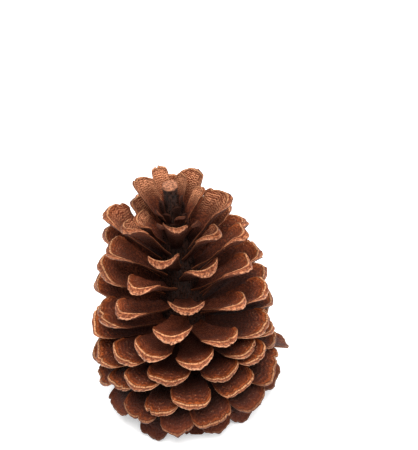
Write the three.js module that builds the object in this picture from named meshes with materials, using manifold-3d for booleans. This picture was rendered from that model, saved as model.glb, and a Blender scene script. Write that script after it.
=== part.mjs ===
// An open pine cone that stands on its lowest scales. The woody axis and every scale grew as
// one piece, so they are one solid. Millimetres, +Z up, the stalk scar on the origin.
import * as THREE from 'three';
import { mergeVertices } from 'three/addons/utils/BufferGeometryUtils.js';
import Module from 'manifold-3d';

const wasm = await Module();
wasm.setup();

// The spiral. Each scale sits one golden angle on from the one below it.
const SCALES = 109;
const GOLDEN_ANGLE = 137.508;
const FIRST_ANGLE = 128;
// The spiral isn't quite even. It sways to one side and back on its way up.
const SWAY_ANGLE = 12;
const SWAY_SPAN = 85;
const SWAY_CENTRE = 80;

// How the scales change on the way up. Each row gives the share of the way from the lowest
// scale to the highest, the radius and the height of the tip, the height of the root on the
// axis, the slope of the blade at its tip, its width, how deeply it is cupped, and how thick
// its rim is.
const ROWS = [
  { at: 0.00, tipRadius: 20.0, tipHeight: -0.8, rootHeight: 14.0, slope: -56, width: 9.4, cup: 0.08, rim: 1.3 },
  { at: 0.05, tipRadius: 24.4, tipHeight: 0.4, rootHeight: 15.4, slope: -50, width: 10.4, cup: 0.08, rim: 1.3 },
  { at: 0.11, tipRadius: 29.0, tipHeight: 7.0, rootHeight: 17.0, slope: -36, width: 11.4, cup: 0.10, rim: 1.3 },
  { at: 0.26, tipRadius: 30.0, tipHeight: 19.0, rootHeight: 21.0, slope: -4, width: 12.4, cup: 0.12, rim: 1.4 },
  { at: 0.43, tipRadius: 29.0, tipHeight: 30.0, rootHeight: 25.5, slope: 15, width: 12.4, cup: 0.18, rim: 1.7 },
  { at: 0.59, tipRadius: 28.2, tipHeight: 41.5, rootHeight: 32.5, slope: 26, width: 11.8, cup: 0.28, rim: 2.1 },
  { at: 0.74, tipRadius: 23.9, tipHeight: 58.0, rootHeight: 44.5, slope: 38, width: 10.6, cup: 0.38, rim: 2.3 },
  { at: 0.83, tipRadius: 19.8, tipHeight: 67.4, rootHeight: 52.4, slope: 45, width: 9.4, cup: 0.46, rim: 2.3 },
  { at: 0.87, tipRadius: 18.2, tipHeight: 74.0, rootHeight: 56.0, slope: 48, width: 8.4, cup: 0.66, rim: 2.1 },
  { at: 0.91, tipRadius: 15.9, tipHeight: 77.1, rootHeight: 59.8, slope: 53, width: 7.6, cup: 0.82, rim: 1.8 },
  { at: 0.95, tipRadius: 13.6, tipHeight: 80.2, rootHeight: 63.5, slope: 58, width: 6.8, cup: 0.58, rim: 1.4 },
  { at: 1.00, tipRadius: 10.0, tipHeight: 81.6, rootHeight: 67.0, slope: 66, width: 5.6, cup: 0.34, rim: 1.0 },
];

// A few of the topmost scales never grew out. They end this share of the way to their place.
const STUNTED = [101, 103, 106, 108];
const STUNTED_GROWTH = 0.45;
const STUNTED_WIDTH = 0.6;
const STUNTED_CUP = 0.15;

// Many scales stand a little out of line. For a scale's number this gives how far its tip
// stands outwards and upwards of its place, how many degrees it is turned, its width as a
// share of the usual, and how many degrees it leans over to one side.
const ODD = {
  12: [0, 0, 0, 1, 10], 17: [0, 0, 3, 1.15, 8], 20: [3.2, 0, 0, 0.9, 0],
  22: [0, -3.0, 3, 1, 0], 25: [0, 0, -2, 1.2, 20], 35: [0, -1.9, 3, 1, 0],
  38: [-0.5, 3.5, -1, 0.9, 8], 40: [0, 0.8, -2, 0.95, 0], 43: [0, 0, 5, 1, 0],
  45: [0, -0.8, 0, 1, -8], 48: [0, -1.2, -2, 1, 0], 50: [0, 0, 0, 1, -12],
  51: [0, -0.6, 5, 0.95, 6], 53: [0, -1.2, -2, 1, -6], 56: [0, -0.4, 2, 1, 0],
  58: [0, 0, 0, 1.05, -18], 59: [0, -2.0, 0, 1.1, 12], 61: [0, -0.6, 4, 0.9, -10],
  63: [0, 0, 0, 1.15, -10], 64: [0, -0.6, 5, 0.9, 0], 66: [-1.0, 0.8, 0, 1.1, -22],
  69: [0, 0, 4, 0.95, -8], 71: [0, -0.8, 0, 1.2, -14], 72: [0, 0, 5, 0.85, 6],
  74: [0, -2.2, 0, 0.9, -6], 75: [0, 2.2, 0, 1, 0], 77: [0, 0, 1.5, 0.95, 0],
  79: [0, 0.8, 3, 1.2, -14], 80: [1.0, 1.5, 3, 1, 10], 82: [0, 0, -4, 1, -6],
  84: [0, 0, 0, 1.25, 0], 85: [0, 0.8, 2, 1, 0], 87: [0.8, 2.0, 0, 0.98, -8],
  88: [0, 1.0, 0, 0.88, 8], 91: [-1.0, -2.0, 0, 1, 0], 92: [2.0, 0.2, 0, 1.1, 0],
  93: [1.5, 0.8, 3, 0.82, 12], 95: [1.2, 2.4, 0, 0.85, -4], 96: [0.3, 0, -3, 1.35, 14],
  97: [-2.2, -4.2, 4, 1.1, -8], 98: [0, -0.3, 2, 0.95, 5], 100: [-4.0, -7.5, -4, 1.4, -16],
  102: [0, -0.8, 0, 0.75, 0], 104: [-2.2, -4.2, 0, 0.75, 0], 105: [0, 0, 0, 1.2, -8],
  107: [0, -3.0, -4, 0.8, 0],
};
const USUAL = [0, 0, 0, 1, 0];

// The outline of one blade from above. Each row gives the share of the length, the share of
// half the width, and the thickness there as a share of the rim's. The rim is the thickest.
const OUTLINE = [
  { along: 0.00, across: 0.44, thick: 0.65 },
  { along: 0.40, across: 0.66, thick: 0.42 },
  { along: 0.76, across: 0.98, thick: 0.34 },
  { along: 0.91, across: 0.87, thick: 0.55 },
  { along: 0.98, across: 0.50, thick: 0.86 },
];
const TIP_THICK = 1.0;
const SPINE = [
  { along: 0.40, thick: 0.65 },
  { along: 0.80, thick: 0.86 },
];
const THINNEST = 0.65;
const BEND = 0.5;
const ROOT_SINK = 2.0;

// No two scales are alike. These are the most that one may stray either way.
const STRAY = { angle: 4.5, slope: 4, tip: 1.0, width: 0.07, roll: 7 };
const SEED = 9895;

// The axis as a profile from the stalk scar to the flat, broken end of the knob at the top.
const AXIS = [
  [0, 0], [3.4, 0], [3.0, 4], [3.4, 9], [5.4, 13], [6.8, 19], [7.0, 28], [6.6, 38],
  [5.6, 50], [4.2, 60], [2.9, 68], [2.2, 73], [2.1, 78.6], [2.3, 79.6], [2.1, 80.6], [0, 80.8],
];
const AXIS_SIDES = 12;

const FLOOR_CUT = 30;

let state = SEED;

// The next draw, from -1 to 1. The same seed gives the same cone each time.
function draw() {
  state = (state * 16807) % 2147483647;
  return (2 * state) / 2147483647 - 1;
}

const radians = THREE.MathUtils.degToRad;

// Reads one column of the rows at any share of the way up.
function rowValue(at, column) {
  const next = ROWS.findIndex((row) => row.at >= at);
  const upper = ROWS[Math.max(next, 1)];
  const lower = ROWS[Math.max(next, 1) - 1];
  const share = (at - lower.at) / (upper.at - lower.at);
  return lower[column] + share * (upper[column] - lower[column]);
}

function axisRadius(height) {
  const next = AXIS.findIndex(([, z], index) => index > 1 && z >= height);
  const [upperRadius, upperZ] = AXIS[next];
  const [lowerRadius, lowerZ] = AXIS[next - 1];
  return lowerRadius + ((height - lowerZ) / (upperZ - lowerZ)) * (upperRadius - lowerRadius);
}

// Where scale number index sits and how it is turned.
function placement(index) {
  const at = index / (SCALES - 1);
  const sway = SWAY_ANGLE * Math.sin((Math.PI * (index - SWAY_CENTRE)) / SWAY_SPAN);
  const [out, up, turn, wide, lean] = ODD[index] ?? USUAL;
  const stray = turn + STRAY.angle * draw();
  const angle = radians(FIRST_ANGLE + GOLDEN_ANGLE * index - sway + stray);
  const slope = radians(rowValue(at, 'slope') + STRAY.slope * draw());
  const tip = new THREE.Vector2(rowValue(at, 'tipRadius'), rowValue(at, 'tipHeight'));
  tip.x += out + STRAY.tip * draw();
  tip.y += up;
  let width = rowValue(at, 'width') * wide * (1 + STRAY.width * draw());
  const roll = radians(lean + STRAY.roll * draw());
  let cup = rowValue(at, 'cup');
  const rim = rowValue(at, 'rim');
  const rootHeight = rowValue(at, 'rootHeight');
  const root = new THREE.Vector2(Math.max(axisRadius(rootHeight) - ROOT_SINK, 0.6), rootHeight);
  if (STUNTED.includes(index)) {
    tip.sub(root).multiplyScalar(STUNTED_GROWTH).add(root);
    width *= STUNTED_WIDTH;
    cup = STUNTED_CUP;
  }
  return { angle, slope, root, tip, width, roll, cup, rim };
}

// A point of a blade. The spine of the blade is a curve from the root to the tip that leaves
// the tip at its slope. The blade is cupped, so its edges stand above its spine.
function bladePoint(scale, along, across, depth) {
  const { root, tip } = scale;
  const tipDirection = new THREE.Vector2(Math.cos(scale.slope), Math.sin(scale.slope));
  const middle = tip.clone().addScaledVector(tipDirection, -BEND * root.distanceTo(tip));
  const rise = 1 - along;
  const spine = root.clone().multiplyScalar(rise * rise)
    .addScaledVector(middle, 2 * rise * along)
    .addScaledVector(tip, along * along);
  const forward = middle.clone().sub(root).multiplyScalar(rise)
    .add(tip.clone().sub(middle).multiplyScalar(along)).normalize();
  const side = (across * scale.width) / 2;
  const lift = scale.cup * Math.abs(side) * Math.abs(across) - depth;
  const sideways = side * Math.cos(scale.roll) - lift * Math.sin(scale.roll);
  const upwards = side * Math.sin(scale.roll) + lift * Math.cos(scale.roll);
  const radius = spine.x - forward.y * upwards;
  const height = spine.y + forward.x * upwards;
  return new THREE.Vector3(
    radius * Math.cos(scale.angle) - sideways * Math.sin(scale.angle),
    radius * Math.sin(scale.angle) + sideways * Math.cos(scale.angle),
    height,
  );
}

// One closed blade with an upper face, a lower face and the wall between them.
function bladeGeometry(scale) {
  const left = OUTLINE.map((row) => ({ ...row, across: -row.across })).reverse();
  const outline = [...OUTLINE, { along: 1, across: 0, thick: TIP_THICK }, ...left];
  const spine = SPINE.map((row) => ({ ...row, across: 0 }));
  const stations = [...outline, ...spine];
  const upper = stations.map((row) => bladePoint(scale, row.along, row.across, 0));
  const lower = stations.map((row) => {
    const thick = Math.max(THINNEST, row.thick * scale.rim);
    return bladePoint(scale, row.along, row.across, thick);
  });
  const count = outline.length;
  const last = count - 1;
  const [inner, outer] = [count, count + 1];
  const face = [
    [0, inner, 1], [0, last, inner], [last, last - 1, inner],
    [1, inner, outer], [1, outer, 2], [inner, last - 1, outer], [outer, last - 1, last - 2],
  ];
  for (let corner = 2; corner < last - 2; corner += 1) {
    face.push([outer, corner + 1, corner]);
  }
  const positions = [...upper, ...lower].flatMap((point) => point.toArray());
  const offset = stations.length;
  const indices = [];
  for (const [a, b, c] of face) {
    indices.push(a, b, c);
    indices.push(offset + a, offset + c, offset + b);
  }
  for (let corner = 0; corner < count; corner += 1) {
    const next = (corner + 1) % count;
    indices.push(corner, next, offset + corner);
    indices.push(next, offset + next, offset + corner);
  }
  const geometry = new THREE.BufferGeometry();
  geometry.setAttribute('position', new THREE.Float32BufferAttribute(positions, 3));
  geometry.setIndex(indices);
  return geometry;
}

function axisGeometry() {
  const profile = AXIS.map(([radius, height]) => new THREE.Vector2(radius, height));
  return new THREE.LatheGeometry(profile, AXIS_SIDES).rotateX(Math.PI / 2);
}

function toSolid(source) {
  const bare = source.clone();
  bare.deleteAttribute('normal');
  bare.deleteAttribute('uv');
  const merged = mergeVertices(bare, 1e-4);
  return new wasm.Manifold(new wasm.Mesh({
    numProp: 3,
    vertProperties: new Float32Array(merged.attributes.position.array),
    triVerts: new Uint32Array(merged.index.array),
  }));
}

function toGeometry(solid) {
  const mesh = solid.getMesh();
  const geometry = new THREE.BufferGeometry();
  geometry.setAttribute('position', new THREE.BufferAttribute(mesh.vertProperties, 3));
  geometry.setIndex(new THREE.BufferAttribute(mesh.triVerts, 1));
  geometry.computeVertexNormals();
  return geometry;
}

// The lowest tips and the stalk scar end in one level plane, which the cone stands on.
function coneGeometry() {
  let solid = toSolid(axisGeometry());
  for (let index = 0; index < SCALES; index += 1) {
    solid = solid.add(toSolid(bladeGeometry(placement(index))));
  }
  const below = new THREE.BoxGeometry(200, 200, FLOOR_CUT).translate(0, 0, -FLOOR_CUT / 2);
  return toGeometry(solid.subtract(toSolid(below)));
}

const group = new THREE.Group();
group.name = 'pine_cone';

const wood = new THREE.MeshStandardMaterial({ color: 0x86492c, roughness: 0.72, metalness: 0 });
const cone = new THREE.Mesh(coneGeometry(), wood);
cone.name = 'cone';
group.add(cone);

export default group;
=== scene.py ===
# %% [markdown]
# # An open pine cone
#
# A pine cone is a woody axis with scales growing from it in a spiral. When it dries, the scales
# open. This lesson models one scale well, lays a copy of it at every place on the spiral, and
# gives the wood a finish that changes from the dark root of a scale to its pale rim. The packed
# solid fixes the size and the places, and the detailed pieces replace it.

# %% Load the frame
import math

import bpy
import numpy as np
from mathutils import Matrix, Vector


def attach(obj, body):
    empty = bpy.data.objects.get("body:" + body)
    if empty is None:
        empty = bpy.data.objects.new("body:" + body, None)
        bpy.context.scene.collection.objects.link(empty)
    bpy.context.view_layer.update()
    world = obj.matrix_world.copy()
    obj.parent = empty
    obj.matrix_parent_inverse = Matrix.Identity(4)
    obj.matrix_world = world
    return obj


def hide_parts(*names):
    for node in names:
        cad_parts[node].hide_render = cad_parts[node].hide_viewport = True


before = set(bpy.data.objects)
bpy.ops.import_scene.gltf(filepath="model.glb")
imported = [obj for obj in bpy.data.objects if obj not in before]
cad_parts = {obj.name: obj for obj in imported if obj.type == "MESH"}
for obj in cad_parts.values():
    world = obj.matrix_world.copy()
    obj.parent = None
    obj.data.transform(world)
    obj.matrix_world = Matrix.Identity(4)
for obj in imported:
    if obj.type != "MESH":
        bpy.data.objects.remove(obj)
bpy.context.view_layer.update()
MM = 0.001
bpy.ops.object.select_all(action="DESELECT")

# %% [markdown]
# The camera comes first, so that every later step can be judged in the render. The photograph
# looks down at the cone from the front, and the cone stands a little left of and below the
# middle of the picture. The camera is slid sideways and upwards to put it there, and rolled a
# little, because the cone leans to the left in the picture.

# %% Camera
PITCH = math.radians(34.8)
ROLL = math.radians(-4.7)
DISTANCE = 0.350
SLIDE = (0.0075, 0.0343)
LOOK_HEIGHT = 0.0244
LENS = 88.8


def place_camera():
    forward = Vector((0, math.cos(PITCH), -math.sin(PITCH)))
    up = Vector((0, math.sin(PITCH), math.cos(PITCH)))
    turn = Matrix.Rotation(-ROLL, 3, forward)
    right, up = turn @ Vector((1, 0, 0)), turn @ up
    place = Vector((0, 0, LOOK_HEIGHT)) - forward * DISTANCE + right * SLIDE[0] + up * SLIDE[1]
    axes = Matrix((right, up, -forward)).transposed()
    bpy.ops.object.camera_add()
    camera = bpy.context.object
    camera.name = "camera"
    camera.matrix_world = Matrix.Translation(place) @ axes.to_4x4()
    camera.data.lens = LENS
    camera.data.clip_start, camera.data.clip_end = 0.01, 20
    bpy.context.scene.camera = camera
    print("camera at", [round(v, 3) for v in camera.location])


place_camera()

# %% [markdown]
# The scales follow one rule. Each sits one golden angle on from the scale below it, which is
# how a growing tip makes them, and the whole spiral sways a little on the way up. The rows below
# say how the tips, the roots and the slopes change with height: the lowest scales droop, the
# middle ones are nearly level and the top ones stand steeply. Four of the topmost never grew out.
# Some scales are out of line on the real cone, and a table moves them by given millimetres and
# degrees. The same seeded draws as in the solid make every scale stray a little more.

# %% The spiral of scales
SCALES = 109
GOLDEN_ANGLE = 137.508
FIRST_ANGLE = 128
SWAY_ANGLE, SWAY_SPAN, SWAY_CENTRE = 12, 85, 80
COLUMNS = ("at", "tip_radius", "tip_height", "root_height", "slope", "width", "cup", "rim")
ROWS = np.array([
    (0.00, 20.0, -0.8, 14.0, -56, 9.4, 0.08, 1.3),
    (0.05, 24.4, 0.4, 15.4, -50, 10.4, 0.08, 1.3),
    (0.11, 29.0, 7.0, 17.0, -36, 11.4, 0.10, 1.3),
    (0.26, 30.0, 19.0, 21.0, -4, 12.4, 0.12, 1.4),
    (0.43, 29.0, 30.0, 25.5, 15, 12.4, 0.18, 1.7),
    (0.59, 28.2, 41.5, 32.5, 26, 11.8, 0.28, 2.1),
    (0.74, 23.9, 58.0, 44.5, 38, 10.6, 0.38, 2.3),
    (0.83, 19.8, 67.4, 52.4, 45, 9.4, 0.46, 2.3),
    (0.87, 18.2, 74.0, 56.0, 48, 8.4, 0.66, 2.1),
    (0.91, 15.9, 77.1, 59.8, 53, 7.6, 0.82, 1.8),
    (0.95, 13.6, 80.2, 63.5, 58, 6.8, 0.58, 1.4),
    (1.00, 10.0, 81.6, 67.0, 66, 5.6, 0.34, 1.0),
])
AXIS = np.array([
    (3.4, 0), (3.0, 4), (3.4, 9), (5.4, 13), (6.8, 19), (7.0, 28), (6.6, 38), (5.6, 50),
    (4.2, 60), (2.9, 68), (2.2, 73), (2.1, 78.6), (2.3, 79.6), (2.1, 80.6),
])
STUNTED = (101, 103, 106, 108)
STUNTED_GROWTH, STUNTED_WIDTH, STUNTED_CUP, STUNTED_TONE = 0.45, 0.6, 0.15, 0.6
# Out of line, by number: outwards, upwards, degrees turned, share of the usual width, lean.
USUAL = (0, 0, 0, 1, 0)
ODD = {
    12: (0, 0, 0, 1, 10), 17: (0, 0, 3, 1.15, 8), 20: (3.2, 0, 0, 0.9, 0), 22: (0, -3.0, 3, 1, 0),
    25: (0, 0, -2, 1.2, 20), 35: (0, -1.9, 3, 1, 0), 38: (-0.5, 3.5, -1, 0.9, 8),
    40: (0, 0.8, -2, 0.95, 0), 43: (0, 0, 5, 1, 0), 45: (0, -0.8, 0, 1, -8), 48: (0, -1.2, -2, 1, 0),
    50: (0, 0, 0, 1, -12), 51: (0, -0.6, 5, 0.95, 6), 53: (0, -1.2, -2, 1, -6), 56: (0, -0.4, 2, 1, 0),
    58: (0, 0, 0, 1.05, -18), 59: (0, -2.0, 0, 1.1, 12), 61: (0, -0.6, 4, 0.9, -10),
    63: (0, 0, 0, 1.15, -10), 64: (0, -0.6, 5, 0.9, 0), 66: (-1.0, 0.8, 0, 1.1, -22),
    69: (0, 0, 4, 0.95, -8), 71: (0, -0.8, 0, 1.2, -14), 72: (0, 0, 5, 0.85, 6),
    74: (0, -2.2, 0, 0.9, -6), 75: (0, 2.2, 0, 1, 0), 77: (0, 0, 1.5, 0.95, 0),
    79: (0, 0.8, 3, 1.2, -14), 80: (1.0, 1.5, 3, 1, 10), 82: (0, 0, -4, 1, -6), 84: (0, 0, 0, 1.25, 0),
    85: (0, 0.8, 2, 1, 0), 87: (0.8, 2.0, 0, 0.98, -8), 88: (0, 1.0, 0, 0.88, 8),
    91: (-1.0, -2.0, 0, 1, 0), 92: (2.0, 0.2, 0, 1.1, 0), 93: (1.5, 0.8, 3, 0.82, 12),
    95: (1.2, 2.4, 0, 0.85, -4), 96: (0.3, 0, -3, 1.35, 14), 97: (-2.2, -4.2, 4, 1.1, -8),
    98: (0, -0.3, 2, 0.95, 5), 100: (-4.0, -7.5, -4, 1.4, -16), 102: (0, -0.8, 0, 0.75, 0),
    104: (-2.2, -4.2, 0, 0.75, 0), 105: (0, 0, 0, 1.2, -8), 107: (0, -3.0, -4, 0.8, 0),
}
STRAY = {"angle": 4.5, "slope": 4, "tip": 1.0, "width": 0.07, "roll": 7}
ROOT_SINK, ROOT_LEAST = 2.0, 0.6
SEED, SEED_STEP, SEED_RANGE = 9895, 16807, 2147483647


def draws(seed):
    while True:
        seed = (seed * SEED_STEP) % SEED_RANGE
        yield 2 * seed / SEED_RANGE - 1


def row_value(at, column):
    return float(np.interp(at, ROWS[:, 0], ROWS[:, COLUMNS.index(column)]))


def place_scales():
    draw = draws(SEED)
    places = []
    for index in range(SCALES):
        at = index / (SCALES - 1)
        sway = SWAY_ANGLE * math.sin(math.pi * (index - SWAY_CENTRE) / SWAY_SPAN)
        out, up, turn, wide, lean = ODD.get(index, USUAL)
        angle = FIRST_ANGLE + GOLDEN_ANGLE * index - sway + turn + STRAY["angle"] * next(draw)
        slope = row_value(at, "slope") + STRAY["slope"] * next(draw)
        tip = np.array((row_value(at, "tip_radius") + out, row_value(at, "tip_height") + up))
        tip[0] += STRAY["tip"] * next(draw)
        width = row_value(at, "width") * wide * (1 + STRAY["width"] * next(draw))
        roll = lean + STRAY["roll"] * next(draw)
        cup, root_height = row_value(at, "cup"), row_value(at, "root_height")
        root_radius = max(np.interp(root_height, AXIS[:, 1], AXIS[:, 0]) - ROOT_SINK, ROOT_LEAST)
        root = np.array((root_radius, root_height))
        if index in STUNTED:
            tip = root + STUNTED_GROWTH * (tip - root)
            width, cup = STUNTED_WIDTH * width, STUNTED_CUP
        places.append({
            "index": index, "at": at, "angle": math.radians(angle), "slope": math.radians(slope),
            "tip": tip, "root": root, "width": width, "roll": math.radians(roll),
            "cup": cup, "rim": row_value(at, "rim"),
            "grown": STUNTED_TONE if index in STUNTED else 1,
        })
    return places


places = place_scales()
print(len(places), "scales placed,", len(ODD), "of them out of line")

# %% [markdown]
# One scale is a thin woody blade, narrow where it leaves the axis and broad at its tip, where a
# thick rim faces outwards. It is modelled once. A grid is extruded downwards into a slab, and the
# wall of the slab is cut into rows, which will carry the shape of the rim. Hand work would then
# pull the slab into a fan. Here short functions do it, so the lines of the grid run as the fibres
# and the growth lines do: fanned out from the root, and along the rim.

# %% The master scale as a slab
ACROSS, ALONG, WALL_CUTS = 34, 26, 5


def make_slab():
    bpy.ops.mesh.primitive_grid_add(x_subdivisions=ACROSS, y_subdivisions=ALONG, size=2)
    slab = bpy.context.object
    slab.name = "master_scale"
    bpy.ops.object.mode_set(mode="EDIT")
    bpy.ops.mesh.select_all(action="SELECT")
    bpy.ops.mesh.extrude_region_move(TRANSFORM_OT_translate={"value": (0, 0, -1)})
    bpy.ops.object.mode_set(mode="OBJECT")
    heights = [vertex.co.z for vertex in slab.data.vertices]
    ends = [edge.vertices[:] for edge in slab.data.edges]
    upright = [abs(heights[first] - heights[second]) > 0.5 for first, second in ends]
    bpy.ops.object.mode_set(mode="EDIT")
    bpy.ops.mesh.select_mode(type="EDGE")
    bpy.ops.mesh.select_all(action="DESELECT")
    bpy.ops.object.mode_set(mode="OBJECT")
    slab.data.edges.foreach_set("select", upright)
    bpy.ops.object.mode_set(mode="EDIT")
    bpy.ops.mesh.subdivide(number_cuts=WALL_CUTS)
    bpy.ops.mesh.select_mode(type="VERT")
    bpy.ops.mesh.select_all(action="SELECT")
    bpy.ops.mesh.normals_make_consistent(inside=False)
    bpy.ops.object.mode_set(mode="OBJECT")
    return slab


slab = make_slab()
print("slab with", len(slab.data.polygons), "faces")

# %% [markdown]
# Seen from above, a scale is a broad fan. Waves make its outline uneven and crumble its rim, and
# a soft hill bites one small notch. Twelve whims are drawn for each scale, between -1 and 1, so
# no two are alike. Lengths here are shares of the scale's own length.

# %% The outline of the blade
TIP_DEPTH, FULL_REACH = 0.23, 0.972


def smooth(low, high, value):
    share = np.clip((value - low) / (high - low), 0, 1)
    return share * share * (3 - 2 * share)


def hill(value, centre, spread):
    return np.exp(-((value - centre) / spread) ** 2)


def waves(value, phases, first=2):
    total = np.zeros_like(value)
    for step, phase in enumerate(phases):
        total += np.sin((first + step) * value + phase) / (1 + 0.5 * step)
    return total / len(phases)


def outline_form(fan, whims):
    phases = whims * math.pi
    reach = 1 - TIP_DEPTH + TIP_DEPTH * np.cos(fan) ** (0.52 + 0.22 * whims[0])
    uneven = 0.028 * whims[1] * np.sin(fan) + 0.042 * waves(fan, phases[:5], 3)
    crumbled = 0.014 * waves(fan, phases[4:11], 13) + 0.004 * waves(fan, phases[1:6], 25)
    notch = -0.05 * abs(whims[6]) * hill(fan, 1.1 * whims[7], 0.09)
    return reach * (FULL_REACH + uneven + crumbled + notch)


print("outline ready, tip depth", TIP_DEPTH)

# %% [markdown]
# The blade is thin along its sides and thickest at the middle of the rim. Its upper face has a
# lip at the rim and two long hollows where the winged seeds lay. These are in millimetres. The
# end face has a small boss in a shallow hollow, and its lower edge is torn.

# %% The thickness and the relief
NECK_WIDTH = 0.46
BLADE_SIDE, BLADE_MIDDLE = 0.35, 0.25
RIM_SIDE, RIM_MIDDLE = 0.18, 0.80
RIM_START, RIM_FULL = 0.74, 0.96


def blade_thickness(across, along, rim_thick, whims):
    middle = 1 - across ** 2
    blade = BLADE_SIDE + BLADE_MIDDLE * rim_thick * middle
    rim = rim_thick * (RIM_SIDE + RIM_MIDDLE * middle ** 0.7)
    share = smooth(RIM_START, RIM_FULL, along)
    return (blade * (1 - share) + rim * share) * (1 + 0.12 * whims[2])


def face_relief(fan, across, along, rim_thick, whims):
    lip = 0.16 * hill(along, 0.975, 0.02) - 0.14 * hill(along, 0.90, 0.04)
    swollen = 0.35 * hill(along, 0.80, 0.09) * (1 - across ** 2)
    wing = 0.22 * hill(np.abs(np.sin(fan)), 0.42, 0.2) * hill(along, 0.52, 0.22)
    uneven = 0.40 * waves(3 * along + fan, whims[5:9] * math.pi)
    return min(rim_thick / 2, 1) * (lip + swollen - wing + uneven)


def end_relief(across, along, depth):
    shoulder = -0.010 * (1 - smooth(0.0, 0.2, depth)) - 0.014 * smooth(0.75, 1.0, depth)
    boss = 0.014 * hill(across, 0, 0.25) * hill(depth, 0.5, 0.2)
    hollow = -0.006 * np.sin(math.pi * depth)
    return (shoulder + boss + hollow) * smooth(0.97, 1.0, along)


def torn_edge(fan, along, depth, whims):
    phases = whims * math.pi
    ragged = 0.24 * waves(fan, phases[3:11], 13) + 0.08 * waves(fan, phases[2:6], 27)
    return ragged * smooth(0.9, 1.0, along) * smooth(0.55, 1.0, depth)


def blade_form(fan, along, depth, rim_thick, whims):
    across = np.sin(fan) * (NECK_WIDTH + (1 - NECK_WIDTH) * along ** 1.6)
    thick = blade_thickness(across, along, rim_thick, whims) * (1 + torn_edge(fan, along, depth, whims))
    drop = depth * thick - (1 - depth) * face_relief(fan, across, along, rim_thick, whims)
    reach = outline_form(fan, whims) + end_relief(across, along, depth)
    return across, along * reach, drop


print("blade form ready, rim from", RIM_START, "of its length")

# %% [markdown]
# The slab is read as three numbers for each point: its place in the fan from side to side, how
# far along the scale it is, and how deep under the upper face. The blade made from them is bent
# along a curve that leaves the axis and reaches the tip at the tip's slope. It is cupped so that
# its edges stand up, twisted a little, and turned to its place round the axis.

# %% Bend the blade
BEND = 0.5
TWIST = 9
RIM_CROWDING = 0.75


def read_slab(slab):
    points = np.empty(len(slab.data.vertices) * 3)
    slab.data.vertices.foreach_get("co", points)
    points = points.reshape(-1, 3)
    fan = points[:, 0] * math.pi / 2
    along = ((points[:, 1] + 1) / 2) ** RIM_CROWDING
    return fan, along, np.clip(-points[:, 2], 0, 1)


def bend_blade(place, along, across, drop, whims):
    root, tip = place["root"], place["tip"]
    reach = np.linalg.norm(tip - root)
    direction = np.array((math.cos(place["slope"]), math.sin(place["slope"])))
    middle = tip - BEND * reach * direction
    along = along[:, None]
    spine = (1 - along) ** 2 * root + 2 * along * (1 - along) * middle + along ** 2 * tip
    forward = (1 - along) * (middle - root) + along * (tip - middle)
    forward /= np.linalg.norm(forward, axis=1)[:, None]
    side = across * place["width"] / 2
    cup = place["cup"] * (1 + 0.3 * whims[3] + 0.5 * whims[4] * across)
    lift = cup * np.abs(side) * np.abs(across) - drop
    roll = place["roll"] + math.radians(TWIST) * whims[5] * (along[:, 0] - 0.5)
    sideways = side * np.cos(roll) - lift * np.sin(roll)
    upwards = side * np.sin(roll) + lift * np.cos(roll)
    radius = spine[:, 0] - forward[:, 1] * upwards
    height = spine[:, 1] + forward[:, 0] * upwards
    cos, sin = math.cos(place["angle"]), math.sin(place["angle"])
    return np.stack((radius * cos - sideways * sin, radius * sin + sideways * cos, height), 1)


print("the curve's middle point is", BEND, "of the reach back from the tip")

# %% [markdown]
# Every scale is a copy of the slab with its own mesh, so each can have a shape of its own. No
# point goes below the ground. The mesh also keeps marks that say where each point lies, because
# the finish needs them: how far along, how far across and how deep it is, how high up the cone
# its scale grew, and a tint for the scale.

# %% Lay the scales
WHIMS = 12
SCALE_SMOOTH = 50


def set_marks(mesh, marks):
    for name, values in marks.items():
        values = np.broadcast_to(values, len(mesh.vertices)).astype(np.float32)
        mesh.attributes.new(name, "FLOAT", "POINT").data.foreach_set("value", values)


def lay_scale(slab, place, name):
    fan, along, depth = read_slab(slab)
    rng = np.random.default_rng(place["index"])
    whims = rng.uniform(-1, 1, WHIMS)
    across, reach, drop = blade_form(fan, along, depth, place["rim"], whims)
    points = bend_blade(place, reach, across, drop, whims)
    points[:, 2] = np.maximum(points[:, 2], 0)
    mesh = slab.data.copy()
    mesh.name = name
    mesh.vertices.foreach_set("co", (points * MM).ravel())
    set_marks(mesh, {
        "along": along * place["grown"], "across": np.sin(fan), "depth": depth,
        "level": place["at"] * place["grown"], "tint": rng.uniform(0, 1)})
    mesh.update()
    scale = bpy.data.objects.new(name, mesh)
    bpy.context.scene.collection.objects.link(scale)
    return scale


def join_pieces(pieces, name):
    bpy.ops.object.select_all(action="DESELECT")
    for piece in pieces:
        piece.select_set(True)
    bpy.context.view_layer.objects.active = pieces[0]
    bpy.ops.object.join()
    joined = bpy.context.object
    joined.name = joined.data.name = name
    bpy.ops.object.shade_smooth_by_angle(angle=math.radians(SCALE_SMOOTH))
    bpy.ops.object.select_all(action="DESELECT")
    print(name, len(joined.data.polygons), "faces")
    return joined


print("each scale is drawn with", WHIMS, "whims")

# %% [markdown]
# A piece has to stay under 200,000 triangles, so the scales are laid in five bands, from the foot
# to the crown, and each band is joined into one piece.

# %% Five bands of scales
BANDS = ("foot", "lower", "middle", "upper", "crown")


def lay_bands(slab, places):
    bands = []
    for number, band in enumerate(BANDS):
        first, last = (round(SCALES * step / len(BANDS)) for step in (number, number + 1))
        scales = [lay_scale(slab, place, f"scale_{place['index']}") for place in places[first:last]]
        bands.append(join_pieces(scales, f"scales_{band}"))
    return bands


bands = lay_bands(slab, places)

# %% [markdown]
# Above the last open scales the axis ends in a thin column. The scales there stayed tiny and
# closed, pressed flat against it. They are the same scale once more, very small and upright.

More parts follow.
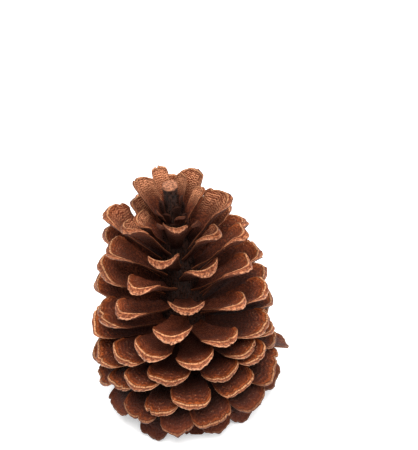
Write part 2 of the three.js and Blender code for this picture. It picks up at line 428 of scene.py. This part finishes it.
# %% The closed scales round the top
BUDS = 14
BUD_FIRST, BUD_LAST = 64.0, 72.5
BUD_LENGTH, BUD_SLOPE = 4.2, 84
BUD_FOOT_RADIUS, BUD_TIP_RADIUS, BUD_TAPER = 2.2, 4.0, 1.2
BUD_FORM = {"at": 1.0, "width": 2.9, "rim": 0.6, "roll": 0.0, "cup": -0.25, "grown": 0.30}


def place_buds():
    buds = []
    for number in range(BUDS):
        share = number / (BUDS - 1)
        foot = BUD_FIRST + share * (BUD_LAST - BUD_FIRST)
        buds.append(BUD_FORM | {
            "index": SCALES + number, "angle": math.radians(GOLDEN_ANGLE * number),
            "slope": math.radians(BUD_SLOPE), "root": np.array((BUD_FOOT_RADIUS, foot)),
            "tip": np.array((BUD_TIP_RADIUS - BUD_TAPER * share, foot + BUD_LENGTH)),
        })
    return buds


buds = join_pieces([lay_scale(slab, bud, f"bud_{bud['index']}") for bud in place_buds()], "buds")

# %% [markdown]
# The axis is the spindle that all scales grow from. It shows as a dark column between the top
# scales, and underneath it ends in the scar of the stalk. A circle is extruded and scaled row by
# row up its profile, as on a lathe, and its ends are closed.

# %% The axis
AXIS_SIDES = 40
AXIS_SMOOTH = 40


def make_axis():
    first_radius, first_height = AXIS[0]
    bpy.ops.mesh.primitive_circle_add(
        vertices=AXIS_SIDES, radius=first_radius * MM, fill_type="TRIFAN",
        location=(0, 0, first_height * MM))
    axis = bpy.context.object
    axis.name = axis.data.name = "axis_core"
    bpy.ops.object.transform_apply(location=True, rotation=True, scale=True)
    bpy.ops.object.mode_set(mode="EDIT")
    bpy.ops.mesh.select_all(action="SELECT")
    for (radius, height), (above, top) in zip(AXIS[:-1], AXIS[1:]):
        bpy.ops.mesh.extrude_region_move(
            TRANSFORM_OT_translate={"value": (0, 0, (top - height) * MM)})
        share = above / radius
        bpy.ops.transform.resize(value=(share, share, 1), center_override=(0, 0, top * MM))
    bpy.ops.mesh.select_all(action="SELECT")
    bpy.ops.mesh.normals_make_consistent(inside=False)
    bpy.ops.mesh.subdivide(number_cuts=2, smoothness=0)
    bpy.ops.object.mode_set(mode="OBJECT")
    bpy.ops.object.shade_smooth_by_angle(angle=math.radians(AXIS_SMOOTH))
    bpy.ops.object.select_all(action="DESELECT")
    print("axis_core", len(axis.data.polygons), "faces")
    return axis


axis = make_axis()

# %% [markdown]
# Materials read where a point lies on its scale from the marks in the mesh. Small helpers keep
# the node trees short: each adds one node, sets its values and links its inputs. The last one
# lays a colour over another, and shows only where all of its masks are bright.

# %% Helpers for materials
def srgb(red, green, blue):
    def linear(value):
        value /= 255
        return value / 12.92 if value <= 0.04045 else ((value + 0.055) / 1.055) ** 2.4
    return (linear(red), linear(green), linear(blue), 1)


def add(tree, kind, inputs=None, **settings):
    node = tree.nodes.new(kind)
    for name, value in settings.items():
        setattr(node, name, value)
    for name, value in (inputs or {}).items():
        if isinstance(value, bpy.types.NodeSocket):
            tree.links.new(value, node.inputs[name])
        else:
            node.inputs[name].default_value = value
    return node


def math_node(tree, operation, first, second=0.0):
    return add(tree, "ShaderNodeMath", {0: first, 1: second}, operation=operation).outputs[0]


def plus(tree, first, second):
    return math_node(tree, "ADD", first, second)


def times(tree, product, *factors):
    for factor in factors:
        product = math_node(tree, "MULTIPLY", product, factor)
    return product


def between(tree, value, low, high, to_low=0.0, to_high=1.0):
    inputs = {"Value": value, "From Min": low, "From Max": high, "To Min": to_low, "To Max": to_high}
    return add(tree, "ShaderNodeMapRange", inputs, interpolation_type="SMOOTHSTEP").outputs[0]


def mix(tree, share, first, second, blend="MIX"):
    inputs = {0: share, 6: first, 7: second}
    return add(tree, "ShaderNodeMix", inputs, data_type="RGBA", blend_type=blend).outputs[2]


def mark(tree, name):
    return add(tree, "ShaderNodeAttribute", attribute_name=name).outputs["Fac"]


def ramp(tree, value, stops):
    node = add(tree, "ShaderNodeValToRGB", {"Fac": value})
    elements = node.color_ramp.elements
    while len(elements) < len(stops):
        elements.new(0.5)
    for element, (position, colour) in zip(elements, stops):
        element.position, element.color = position, colour
    return node.outputs["Color"]


def coat(tree, base, colour, *masks):
    return mix(tree, times(tree, *masks), base, colour)


print("helpers ready")

# %% [markdown]
# Fibres and fine specks are in all of the cone's wood, so they are one node group. It takes
# coordinates across and along the growth, and a shift that makes each scale's grain its own. It
# gives a mask of streaks, one of specks, and a slow wobble.

# %% The grain that all the wood shares
STREAKS_ACROSS, STREAKS_ALONG = 14, 3
SPECKS_PER_METRE = 1600
WOBBLE_SCALE = 0.35


def add_noise(tree, place, scale, detail, roughness=0.5):
    inputs = {"Vector": place, "Scale": scale, "Detail": detail, "Roughness": roughness}
    return add(tree, "ShaderNodeTexNoise", inputs).outputs["Fac"]


def make_grain():
    group = bpy.data.node_groups.new("woody grain", "ShaderNodeTree")
    for name in ("Across", "Along", "Shift"):
        group.interface.new_socket(name=name, in_out="INPUT", socket_type="NodeSocketFloat")
    for name in ("Streaks", "Specks", "Wobble"):
        group.interface.new_socket(name=name, in_out="OUTPUT", socket_type="NodeSocketFloat")
    start, end = add(group, "NodeGroupInput").outputs, add(group, "NodeGroupOutput").inputs
    across = times(group, start["Across"], STREAKS_ACROSS)
    along = times(group, start["Along"], STREAKS_ALONG)
    growth = add(group, "ShaderNodeCombineXYZ", {"X": across, "Y": along, "Z": start["Shift"]}).outputs[0]
    spot = add(group, "ShaderNodeTexCoord").outputs["Object"]
    group.links.new(add_noise(group, growth, 1.0, 4, 0.6), end["Streaks"])
    group.links.new(add_noise(group, spot, SPECKS_PER_METRE, 3, 0.65), end["Specks"])
    group.links.new(add_noise(group, growth, WOBBLE_SCALE, 2), end["Wobble"])
    return group


grain = make_grain()
print("node group", grain.name)

# %% [markdown]
# Every colour on a scale depends on the same few values, so they are gathered once: the marks of
# the mesh, the grain, and growth ridges that run along the rim. The ridges are fine rings and
# broader folds together, and they wander. They are more crinkled on the top scales.

# %% What the finish reads
MARKS = ("along", "across", "depth", "level", "tint")
GRAIN_SHIFT = 90
RIDGE_WANDER, EDGE_WANDER = 0.14, 0.03
FOLDS_ACROSS, FOLDS_ALONG, FOLD_HEIGHT = 0.45, 13, 5
RING_HEIGHT = 0.7


def new_material(name):
    material = bpy.data.materials.new(name)
    material.use_nodes = True
    tree = material.node_tree
    return material, tree, tree.nodes["Principled BSDF"]


def take_grain(tree, across, along, shift=0.0):
    inputs = {"Across": across, "Along": along, "Shift": shift}
    return add(tree, "ShaderNodeGroup", inputs, node_tree=grain).outputs


def growth_ridges(tree, read):
    line = plus(tree, read["along"], times(tree, read["wander"], RIDGE_WANDER))
    ripple = between(tree, read["level"], 0.60, 0.95, 0.02, 0.07)
    line = plus(tree, line, times(tree, read["streaks"], ripple))
    ring_pace = between(tree, read["level"], 0.55, 0.95, 120, 175)
    rings = math_node(tree, "SINE", times(tree, line, ring_pace))
    folds = take_grain(tree, times(tree, read["across"], FOLDS_ACROSS),
                       times(tree, line, FOLDS_ALONG), read["shift"])["Streaks"]
    folds = math_node(tree, "SUBTRACT", times(tree, folds, FOLD_HEIGHT), FOLD_HEIGHT / 2)
    return plus(tree, folds, times(tree, rings, RING_HEIGHT))


def read_scale(tree):
    read = {name: mark(tree, name) for name in MARKS}
    read["shift"] = times(tree, read["tint"], GRAIN_SHIFT)
    masks = take_grain(tree, read["across"], read["along"], read["shift"])
    read["streaks"], read["specks"] = masks["Streaks"], masks["Specks"]
    read["wander"] = math_node(tree, "SUBTRACT", masks["Wobble"], 0.5)
    read["edge"] = plus(tree, read["along"], times(tree, read["wander"], EDGE_WANDER))
    read["side"] = math_node(tree, "ABSOLUTE", read["across"])
    read["ridges"] = growth_ridges(tree, read)
    return read


print("a scale is read by its marks:", ", ".join(MARKS))

# %% [markdown]
# The upper face is very dark at the root, painted shade where no light reaches, and warms to amber
# in a narrow band inside the rim. On the upper scales it is browner, and nearly black only close
# to the axis, which is painted shade too. Growth ridges cross its outer half, dark in their troughs
# and paler on their crests, where the pale colour is partly painted highlight, with mottled patches,
# bright fibres and small painted glints. Greyish specks lie further in, partly dust and partly painted
# sheen.

# %% The upper face
# The first, dark stops are painted shade at the root of the scale.
FACE_STOPS = (
    (0.00, srgb(48, 23, 15)), (0.50, srgb(52, 25, 17)), (0.76, srgb(66, 30, 21)),
    (0.87, srgb(94, 43, 27)), (0.925, srgb(140, 68, 31)), (0.957, srgb(192, 104, 52)),
    (0.974, srgb(100, 46, 26)))
FACE = {
    "raised": srgb(138, 75, 50), "inner": srgb(118, 63, 42), "root": srgb(30, 13, 9),
    "dust_and_sheen": srgb(58, 30, 26), "trough": srgb(60, 28, 16), "crest": srgb(156, 86, 56),
    "patch": srgb(84, 40, 24), "fibre": srgb(140, 72, 42), "glint": srgb(214, 166, 140),
}


def plain_face(tree, read):
    along, level = read["along"], read["level"]
    face = ramp(tree, read["edge"], FACE_STOPS)
    face = coat(tree, face, FACE["raised"], between(tree, level, 0.48, 0.80, 0, 0.62))
    face = coat(tree, face, FACE["inner"],
                between(tree, level, 0.46, 0.70, 0, 0.95), between(tree, along, 0.80, 0.45))
    # Painted shade: nearly black close to the axis on the upper scales.
    face = coat(tree, face, FACE["root"],
                between(tree, along, 0.50, 0.16, 0, 0.9), between(tree, level, 0.60, 0.85))
    # Greyish specks on the inner part: partly dust, partly painted sheen.
    return coat(tree, face, FACE["dust_and_sheen"],
                between(tree, read["specks"], 0.42, 0.54, 0, 0.75), between(tree, along, 0.93, 0.80))


def grown_face(tree, read):
    ridges, wander = read["ridges"], read["wander"]
    near_rim = between(tree, read["along"], 0.56, 0.92)
    face = plain_face(tree, read)
    face = coat(tree, face, FACE["trough"], between(tree, ridges, 0.2, -1.0, 0, 0.75), near_rim)
    # The paler colour on the ridge crests is partly painted highlight.
    face = coat(tree, face, FACE["crest"], between(tree, ridges, 0.2, 1.3),
                between(tree, wander, -0.06, 0.12, 0.25, 0.9), near_rim)
    face = coat(tree, face, FACE["patch"], between(tree, wander, 0.10, -0.08, 0, 0.55), near_rim)
    face = coat(tree, face, FACE["fibre"], between(tree, read["streaks"], 0.52, 0.68, 0, 0.30), near_rim)
    # Small glints painted into the colour as highlight.
    return coat(tree, face, FACE["glint"], between(tree, read["specks"], 0.60, 0.70, 0, 0.6), near_rim)


print("upper face:", len(FACE_STOPS), "stops and", len(FACE), "coats")

# %% [markdown]
# The scales near the top are tan on their outer half, with pale wrinkles and a dark seam just
# inside the rim. On every scale the rim itself is pale in a thin broken line that fades towards
# the sides: partly rubbed wood, partly painted highlight.

# %% The top scales and the pale rim, partly painted highlight
TOP = {"trough": srgb(92, 39, 22), "crest": srgb(246, 180, 144), "seam": srgb(88, 44, 30)}
RIM_WEAR_AND_HIGHLIGHT = srgb(212, 162, 126)


def top_face(tree, read):
    face = mix(tree, between(tree, read["ridges"], -0.3, 0.7), TOP["trough"], TOP["crest"])
    return coat(tree, face, TOP["seam"], between(tree, read["edge"], 0.935, 0.955),
                between(tree, read["edge"], 0.975, 0.965, 0, 0.7))


def face_colour(tree, read):
    face = coat(tree, grown_face(tree, read), top_face(tree, read),
                between(tree, read["level"], 0.80, 0.95),
                between(tree, read["along"], 0.50, 0.92, 0, 0.95))
    # The pale rim line: rubbed wood and a painted highlight.
    return coat(tree, face, RIM_WEAR_AND_HIGHLIGHT, between(tree, read["edge"], 0.970, 0.982),
                between(tree, read["streaks"], 0.40, 0.56, 0.25, 1),
                between(tree, read["side"], 0.99, 0.85, 0.2, 1))


print("top scales:", len(TOP), "colours, and one for the rubbed rim")

# %% [markdown]
# The end face looks outwards and has weathered to tan. Lines run along it. Its upper edge is the
# palest, partly rubbed wood and partly painted highlight, and a dark band below that edge is
# painted shade, as of a groove. Its torn lower edge is greyish, with glints painted on it. On the
# lowest scales it is worn dark. The sides of the scale, which run back to the axis, are as dark as
# the root, apart from a pale upper edge on the upper scales.

# %% The end face and the sides
WALL = {
    "line": srgb(88, 43, 26), "tan": srgb(172, 112, 80), "groove_shade": srgb(92, 44, 25),
    "torn_and_glinting": srgb(214, 174, 150), "worn": srgb(78, 38, 25), "side": srgb(60, 30, 18),
    "side_edge": srgb(176, 112, 78),
}


def end_colour(tree, read):
    depth, level = read["depth"], read["level"]
    streaks = take_grain(tree, times(tree, read["across"], 0.5), times(tree, depth, 1.6),
                         read["shift"])["Streaks"]
    layers = plus(tree, times(tree, streaks, 0.6), times(tree, read["specks"], 0.4))
    end = mix(tree, between(tree, layers, 0.43, 0.59), WALL["line"], WALL["tan"])
    # Painted shade: a dark band where a groove would lie below the upper edge.
    end = coat(tree, end, WALL["groove_shade"],
               between(tree, depth, 0.08, 0.20), between(tree, depth, 0.46, 0.28, 0, 0.65))
    # Greyish torn edge with painted glints on it.
    end = coat(tree, end, WALL["torn_and_glinting"], between(tree, depth, 0.50, 0.90),
               between(tree, streaks, 0.42, 0.58, 0.1, 0.8), between(tree, level, 0.45, 0.80, 1, 0.4))
    # Painted highlight, with rubbed wood, along the upper edge of the end face.
    end = coat(tree, end, RIM_WEAR_AND_HIGHLIGHT, between(tree, depth, 0.10, 0.02, 0, 0.9),
               between(tree, read["streaks"], 0.40, 0.56, 0.25, 1))
    return coat(tree, end, WALL["worn"], between(tree, level, 0.24, 0.05, 0, 0.75))


def wall_colour(tree, read):
    side = coat(tree, WALL["side"], WALL["side_edge"],
                between(tree, read["depth"], 0.30, 0.08, 0, 0.8),
                between(tree, read["level"], 0.45, 0.80))
    return mix(tree, between(tree, read["along"], 0.92, 0.99), side, end_colour(tree, read))


print("end face and sides:", len(WALL), "colours")

# %% [markdown]
# The finishes meet at the edges of the upper face and of the underside. The lowest scales have
# lost their amber band and are nearly black deep inside, which is painted shade. No two scales
# have quite the same tone, and the lower ones are darker.

# %% The colour of a whole scale
UNDER_STOPS = ((0.35, srgb(52, 26, 16)), (0.75, srgb(56, 27, 16)), (1.0, srgb(84, 43, 26)))
WHOLE = {"under_streak": srgb(44, 23, 16), "worn": srgb(104, 50, 36), "painted_deep_shade": srgb(36, 17, 10)}
WARMTH = {"Red": 1.12, "Green": 0.96, "Blue": 0.78}


def under_colour(tree, read):
    under = ramp(tree, read["edge"], UNDER_STOPS)
    return coat(tree, under, WHOLE["under_streak"], between(tree, read["streaks"], 0.4, 0.7, 0, 0.4))


def own_tone(tree, read):
    shade = times(tree, between(tree, read["tint"], 0, 1, 0.80, 1.10),
                  between(tree, read["level"], 0.0, 0.75, 0.55, 1.0))
    tones = {name: times(tree, shade, share) for name, share in WARMTH.items()}
    return add(tree, "ShaderNodeCombineColor", tones).outputs[0]


def scale_colour(tree, read):
    along, level = read["along"], read["level"]
    face = coat(tree, face_colour(tree, read), WHOLE["worn"],
                between(tree, level, 0.30, 0.05, 0, 0.8), between(tree, along, 0.66, 0.92))
    colour = mix(tree, between(tree, read["depth"], 0.0, 0.03), face, wall_colour(tree, read))
    colour = mix(tree, between(tree, read["depth"], 0.96, 1.0), colour, under_colour(tree, read))
    # Painted shade: nearly black deep inside the lowest scales.
    colour = coat(tree, colour, WHOLE["painted_deep_shade"],
                  between(tree, along, 0.95, 0.68, 0, 0.85), between(tree, level, 0.44, 0.12))
    return mix(tree, 1.0, colour, own_tone(tree, read), "MULTIPLY")


print("no two scales alike, warmth", WARMTH)

# %% [markdown]
# The bump carries the growth ridges, the fibres and the fine grit, and the specks make the gloss
# uneven. The same last step finishes the wood of the scales and of the core.

# %% The scale wood
BUMP_DEPTH = 0.0003
GRIT_HEIGHT = 1.6


def finish_wood(tree, shader, colour, roughness, height, strength, specular):
    tree.links.new(colour, shader.inputs["Base Color"])
    tree.links.new(roughness, shader.inputs["Roughness"])
    bump = add(tree, "ShaderNodeBump", {"Height": height, "Strength": strength, "Distance": BUMP_DEPTH})
    tree.links.new(bump.outputs[0], shader.inputs["Normal"])
    shader.inputs["Specular IOR Level"].default_value = specular


def scale_relief(tree, read):
    lines = times(tree, read["ridges"], between(tree, read["level"], 0.6, 0.95, 0.30, 0.45))
    fibres = times(tree, read["streaks"], between(tree, read["along"], 0.97, 1.0, 1.4, 0.5))
    return plus(tree, plus(tree, lines, fibres), times(tree, read["specks"], GRIT_HEIGHT))


def scale_wood():
    material, tree, shader = new_material("scale wood")
    read = read_scale(tree)
    roughness = between(tree, read["specks"], 0.3, 0.7, 0.36, 0.66)
    finish_wood(tree, shader, scale_colour(tree, read), roughness, scale_relief(tree, read), 0.9, 0.15)
    return material


scale_material = scale_wood()
print("material", scale_material.name)

# %% [markdown]
# The axis is dark with resin, which glints here and there. Its broken top end and the scar of the
# stalk underneath are bare, paler wood.

# %% The core wood
CORE = {
    "resin": srgb(16, 8, 5), "bark": srgb(50, 28, 20),
    "bare": srgb(98, 58, 40), "bare_pale": srgb(176, 116, 84),
}
CORE_GRAIN_PER_METRE = 200
BARE_TOP, BARE_FOOT = (0.0794, 0.0802), (0.0004, 0.0001)


def core_wood():
    material, tree, shader = new_material("core wood")
    spot = add(tree, "ShaderNodeTexCoord").outputs["Object"]
    parts = add(tree, "ShaderNodeSeparateXYZ", {"Vector": spot}).outputs
    masks = take_grain(tree, times(tree, parts["X"], CORE_GRAIN_PER_METRE),
                       times(tree, parts["Z"], CORE_GRAIN_PER_METRE))
    specks = masks["Specks"]
    dark = mix(tree, between(tree, masks["Streaks"], 0.40, 0.62), CORE["resin"], CORE["bark"])
    bare = mix(tree, between(tree, specks, 0.4, 0.6), CORE["bare"], CORE["bare_pale"])
    ends = math_node(tree, "MAXIMUM", between(tree, parts["Z"], *BARE_TOP),
                     between(tree, parts["Z"], *BARE_FOOT))
    roughness = between(tree, specks, 0.40, 0.60, 0.22, 0.7)
    finish_wood(tree, shader, mix(tree, ends, dark, bare), roughness, specks, 0.8, 0.25)
    return material


core_material = core_wood()
print("material", core_material.name)

# %% [markdown]
# The floor is plain and pale, and it glows a little, as a light table does, so the shadow round
# the foot is faint. One broad lamp shines from above and in front, a weaker one from the right,
# and the surround is even and pale.

# %% Floor and light
FLOOR_WHITE, FLOOR_GLOW = 0.92, 0.35
SURROUND = 0.70
LAMP_AIM = Vector((0, 0, 0.04))
# Each lamp: place, size across, power in watts.
LAMPS = {
    "key_lamp": (Vector((0.02, -0.36, 0.80)), 0.55, 10),
    "side_lamp": (Vector((0.50, -0.40, 0.45)), 0.30, 2.0),
}


def make_floor():
    bpy.ops.mesh.primitive_plane_add(size=6)
    floor = bpy.context.object
    floor.name = "floor"
    material, tree, shader = new_material("pale floor")
    shader.inputs["Base Color"].default_value = (FLOOR_WHITE, FLOOR_WHITE, FLOOR_WHITE, 1)
    shader.inputs["Roughness"].default_value = 0.9
    shader.inputs["Emission Color"].default_value = (1, 1, 1, 1)
    shader.inputs["Emission Strength"].default_value = FLOOR_GLOW
    floor.data.materials.append(material)
    bpy.ops.object.select_all(action="DESELECT")


def add_lamp(name, place, size, power):
    bpy.ops.object.light_add(type="AREA", location=place)
    lamp = bpy.context.object
    lamp.name = name
    lamp.data.shape, lamp.data.size, lamp.data.energy = "DISK", size, power
    lamp.rotation_mode = "QUATERNION"
    lamp.rotation_quaternion = (LAMP_AIM - place).to_track_quat("-Z", "Y")
    bpy.ops.object.select_all(action="DESELECT")
    print(name, power, "W")


def light_scene():
    world = bpy.data.worlds.new("studio")
    bpy.context.scene.world = world
    world.use_nodes = True
    background = world.node_tree.nodes["Background"]
    background.inputs["Color"].default_value = (1, 1, 1, 1)
    background.inputs["Strength"].default_value = SURROUND
    for name, (place, size, power) in LAMPS.items():
        add_lamp(name, place, size, power)
    bpy.context.scene.view_settings.view_transform = "Standard"


make_floor()
light_scene()

# %% [markdown]
# Each piece takes its material and rides on the body. Together they stand in for the packed
# solid, so it is hidden. The master slab has done its work and is removed.

# %% Dress and finish
def dress(piece, material):
    piece.data.materials.clear()
    piece.data.materials.append(material)
    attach(piece, "root")
    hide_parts("cone")


for piece in (*bands, buds):
    dress(piece, scale_material)
dress(axis, core_material)
bpy.data.objects.remove(slab)
